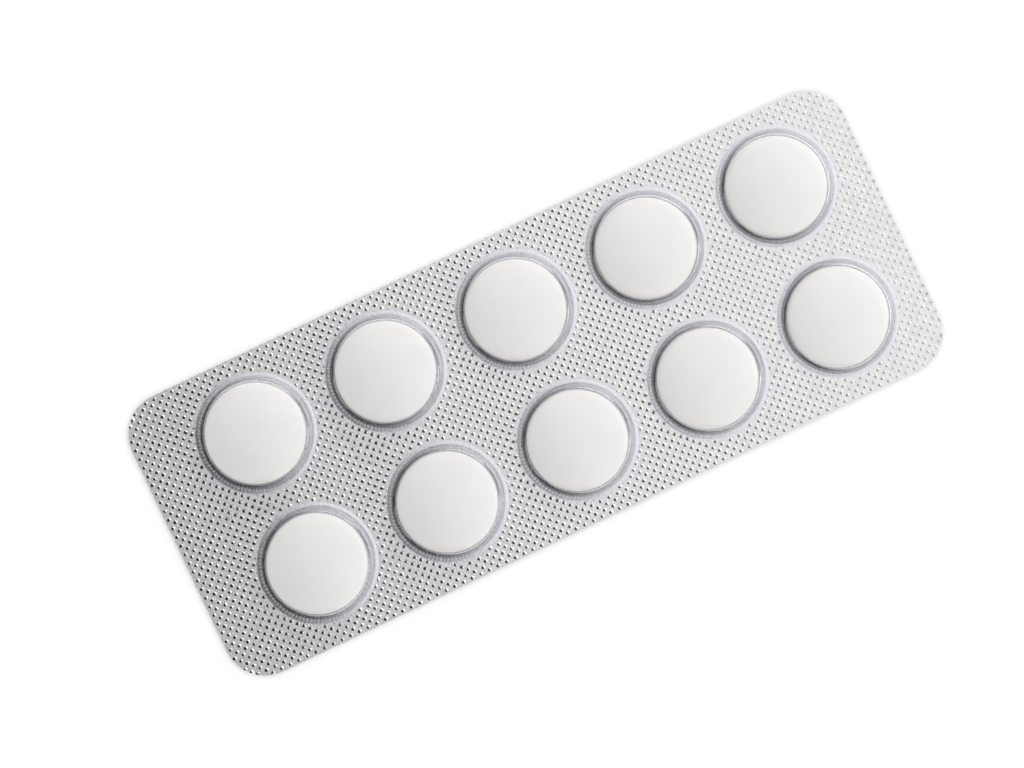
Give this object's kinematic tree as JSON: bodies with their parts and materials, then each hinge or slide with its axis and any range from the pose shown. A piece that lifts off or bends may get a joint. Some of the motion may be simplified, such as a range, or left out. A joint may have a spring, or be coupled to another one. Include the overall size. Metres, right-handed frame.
{
  "type": "blister card of tablets",
  "caption": "Flat card with rows of clear domed pockets over a sealed foil, each pocket holding one loose round tablet that is pushed out through the foil.",
  "frame": {"origin": "middle of the card's outline, on the outer face of the foil, where the card lies on a table", "axes": "+X along the card towards its narrower margin, +Y across the card, +Z from the foil up through the pockets"},
  "size_m": [0.093, 0.036, 0.0051],
  "materials": {
    "clear_film": "clear gloss formed film",
    "foil": "bright foil with a fine knurled seal",
    "tablet": "pressed white powder, matte"
  },
  "bodies": {
    "root": {"blister_film": "clear_film", "lidding_foil": "foil", "tablet_01": "tablet", "tablet_02": "tablet", "tablet_03": "tablet", "tablet_04": "tablet", "tablet_05": "tablet", "tablet_06": "tablet", "tablet_07": "tablet", "tablet_08": "tablet", "tablet_09": "tablet", "tablet_10": "tablet"}
  },
  "joints": []
}
